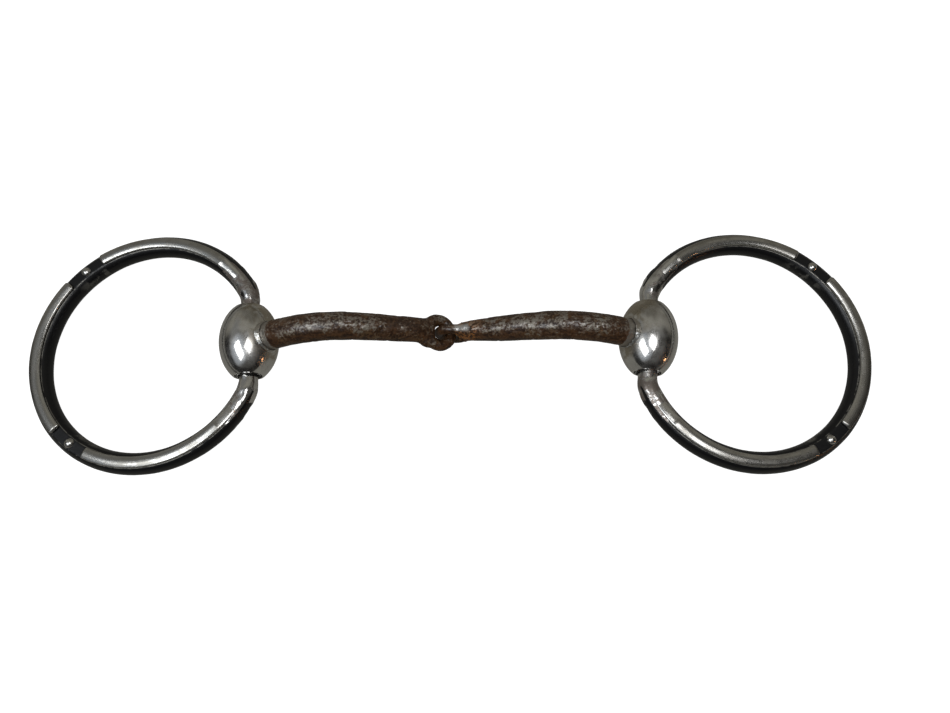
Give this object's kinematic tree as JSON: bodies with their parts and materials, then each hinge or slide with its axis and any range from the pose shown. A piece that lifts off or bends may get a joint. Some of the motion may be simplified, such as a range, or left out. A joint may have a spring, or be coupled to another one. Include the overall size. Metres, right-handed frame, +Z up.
{
  "type": "snaffle bit",
  "caption": "Single-jointed eggbutt snaffle bit with large trimmed rings that turn in egg-shaped butts",
  "frame": {"origin": "on the table, at the middle of the bounding box in X and Y", "axes": "+X along the mouthpiece from the left ring to the right ring, +Y along the hinge pins, +Z up"},
  "size_m": [0.3133, 0.092, 0.0281],
  "materials": {
    "rusted_iron": "rusted and pitted, worn bright along the top",
    "polished_steel": "polished, lightly smudged",
    "braze": "dull filler metal",
    "blued_steel": "blackened steel, worn on the edges",
    "pin_steel": "plain turned steel",
    "nickel_silver": "satin, tarnished"
  },
  "bodies": {
    "left_arm": {"left_cannon": "rusted_iron", "left_butt": "polished_steel", "left_braze": "braze"},
    "right_arm": {"right_cannon": "rusted_iron", "right_butt": "polished_steel", "right_braze": "braze"},
    "left_ring_set": {"left_ring": "blued_steel", "left_hinge_pin": "pin_steel", "left_upper_strip": "nickel_silver", "left_outer_strip": "nickel_silver", "left_lower_strip": "nickel_silver", "left_upper_stud": "nickel_silver", "left_lower_stud": "nickel_silver"},
    "right_ring_set": {"right_ring": "blued_steel", "right_hinge_pin": "pin_steel", "right_upper_strip": "nickel_silver", "right_outer_strip": "nickel_silver", "right_lower_strip": "nickel_silver", "right_upper_stud": "nickel_silver", "right_lower_stud": "nickel_silver"}
  },
  "joints": [
    {"name": "left_ring_swing", "type": "hinge", "parent": "left_arm", "child": "left_ring_set", "pos_m": [-0.0732, 0.0024, 0.0107], "axis": [0.0638, -0.998, 0], "range_deg": [-90, 90]},
    {"name": "right_ring_swing", "type": "hinge", "parent": "right_arm", "child": "right_ring_set", "pos_m": [0.0732, 0.00322, 0.0107], "axis": [0.0854, 0.9963, 0], "range_deg": [-90, 90]},
    {"name": "centre_fold", "type": "hinge", "parent": "left_arm", "child": "right_arm", "pos_m": [0.00065, 0.0062, 0.00735], "axis": [0, 1, 0], "range_deg": [-60, 75]}
  ]
}
